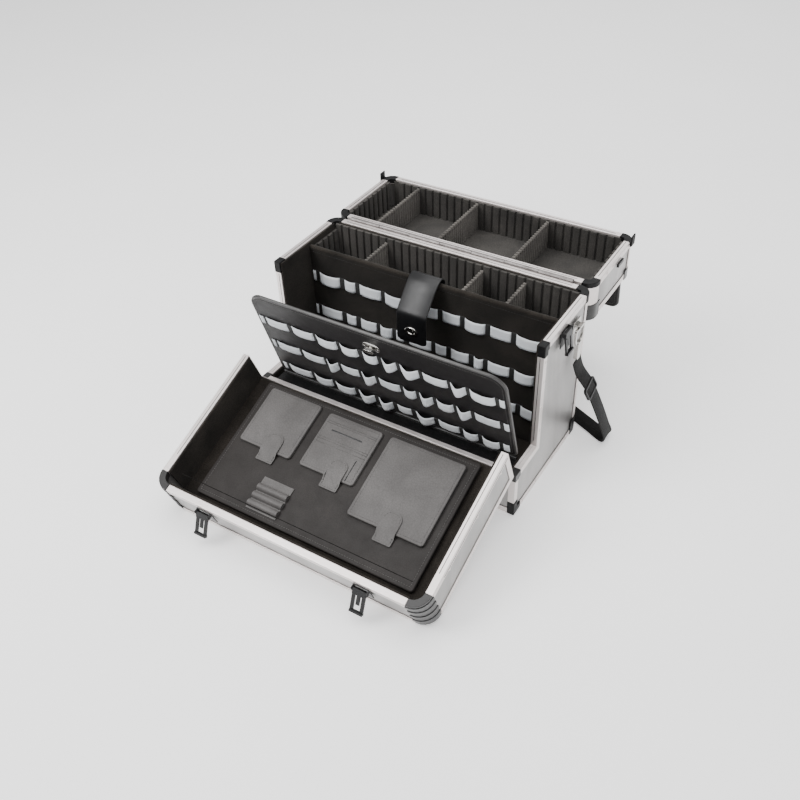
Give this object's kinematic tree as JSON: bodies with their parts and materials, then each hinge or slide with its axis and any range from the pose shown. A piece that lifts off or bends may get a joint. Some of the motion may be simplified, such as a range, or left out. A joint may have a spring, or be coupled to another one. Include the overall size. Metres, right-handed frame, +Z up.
{
  "type": "folding tool and beauty case",
  "caption": "aluminium-framed case standing open: drop front door, flip-over lid tray, tilting tool board, corrugated compartments with lift-out dividers and a shoulder strap",
  "frame": {"origin": "centre of the body's footprint, on the ground", "axes": "+Z up; the low front and its drop door face -Y; the lid opens over to +Y; +X is the side with the right shoulder-strap ring"},
  "size_m": [0.581, 0.707, 0.2694],
  "materials": {
    "aluminium_profile": "bright anodised extrusion with a fine lengthwise grain",
    "silver_panel": "silver-grey embossed laminate on board",
    "corner_guard": "glossy dark grey moulded corner",
    "lining_fabric": "napped black-brown lining cloth",
    "ribbed_liner": "flocked corrugated slot liner",
    "black_leatherette": "fine-grained leatherette",
    "organizer_leatherette": "smooth leatherette over a padded board",
    "pocket_leatherette": "grained leatherette with stitched edges",
    "elastic": "woven white elastic",
    "strap_leather": "stiff glossy leather with stitched edges",
    "webbing": "woven nylon webbing",
    "black_fittings": "black lacquered fittings, worn on the edges",
    "bright_metal": "nickel plate"
  },
  "bodies": {
    "case_body": {"base_panel": "silver_panel", "board_hinge_bracket": "black_fittings", "body_frame": "aluminium_profile", "body_lining": "lining_fabric", "closing_strap": "strap_leather", "door_hinge_fixed_leaf": "aluminium_profile", "door_hinge_pin": "bright_metal", "front_panel": "silver_panel", "left_panel": "silver_panel", "lid_hinge_fixed_leaf": "aluminium_profile", "lid_hinge_pin": "bright_metal", "partition_board": "lining_fabric", "partition_loops": "elastic", "rear_divider_1": "ribbed_liner", "rear_divider_2": "ribbed_liner", "rear_divider_3": "ribbed_liner", "rear_panel": "silver_panel", "rear_slot_liner": "ribbed_liner", "right_panel": "silver_panel", "ring_plate_left": "bright_metal", "ring_plate_right": "bright_metal", "shoulder_strap": "webbing", "side_clasp_base_left": "black_fittings", "side_clasp_base_right": "black_fittings", "strap_hook_left": "bright_metal", "strap_hook_right": "bright_metal"},
    "front_door": {"door_shell": "silver_panel", "door_side_frame": "aluminium_profile", "door_end_angle": "aluminium_profile", "door_end_rail": "aluminium_profile", "door_guard_left": "corner_guard", "door_guard_right": "corner_guard", "door_lining": "lining_fabric", "organizer_board": "organizer_leatherette", "pocket_small": "pocket_leatherette", "pocket_card": "pocket_leatherette", "pocket_large": "pocket_leatherette", "pen_loops": "pocket_leatherette", "door_clasp_base_left": "black_fittings", "door_clasp_base_right": "black_fittings", "door_hinge_moving_leaf": "aluminium_profile"},
    "lid": {"lid_shell": "silver_panel", "lid_frame": "aluminium_profile", "lid_tray_insert": "ribbed_liner", "lid_divider_1": "ribbed_liner", "lid_divider_2": "ribbed_liner", "lid_divider_3": "ribbed_liner", "lid_strike_left": "black_fittings", "lid_strike_right": "black_fittings", "handle_mount": "black_fittings", "lid_hinge_moving_leaf": "aluminium_profile"},
    "flap": {"lid_flap": "black_leatherette"},
    "handle": {"carry_handle": "black_fittings"},
    "board": {"tool_board": "black_leatherette", "tool_board_loops": "elastic"},
    "knob": {"turn_lock_knob": "bright_metal"},
    "door_latch_left": {"door_clasp_left": "black_fittings"},
    "door_latch_right": {"door_clasp_right": "black_fittings"},
    "side_latch_left": {"side_clasp_left": "black_fittings"},
    "side_latch_right": {"side_clasp_right": "black_fittings"}
  },
  "joints": [
    {"name": "front_door", "type": "hinge", "parent": "case_body", "child": "front_door", "pos_m": [0, -0.1209, 0.0826], "axis": [-1, 0, 0], "range_deg": [0, 110.41]},
    {"name": "lid", "type": "hinge", "parent": "case_body", "child": "lid", "pos_m": [0, 0.1209, 0.2646], "axis": [1, 0, 0], "range_deg": [0, 180]},
    {"name": "lid_flap", "type": "hinge", "parent": "lid", "child": "flap", "pos_m": [0, 0.2928, 0.258], "axis": [1, 0, 0], "range_deg": [0, 173]},
    {"name": "carry_handle", "type": "hinge", "parent": "lid", "child": "handle", "pos_m": [0, 0.2068, 0.1892], "axis": [1, 0, 0], "range_deg": [-90, 90]},
    {"name": "tool_board_tilt", "type": "hinge", "parent": "case_body", "child": "board", "pos_m": [0, -0.077, 0.0805], "axis": [-1, 0, 0], "range_deg": [0, 17]},
    {"name": "turn_lock", "type": "hinge", "parent": "board", "child": "knob", "pos_m": [0, -0.12598, 0.23284], "axis": [0, -0.9563, -0.2924], "range_deg": [0, 90]},
    {"name": "door_clasp_left", "type": "hinge", "parent": "front_door", "child": "door_latch_left", "pos_m": [-0.135, -0.37892, 0.05085], "axis": [-1, 0, 0], "range_deg": [0, 138]},
    {"name": "door_clasp_right", "type": "hinge", "parent": "front_door", "child": "door_latch_right", "pos_m": [0.135, -0.37892, 0.05085], "axis": [-1, 0, 0], "range_deg": [0, 138]},
    {"name": "side_clasp_left", "type": "hinge", "parent": "case_body", "child": "side_latch_left", "pos_m": [-0.2355, 0.018, 0.2515], "axis": [0, 1, 0], "range_deg": [0, 172]},
    {"name": "side_clasp_right", "type": "hinge", "parent": "case_body", "child": "side_latch_right", "pos_m": [0.2355, 0.018, 0.2515], "axis": [0, -1, 0], "range_deg": [0, 172]}
  ],
  "couplings": [
    {"joint": "tool_board_tilt", "follows": "front_door", "ratio": 0.15398}
  ]
}
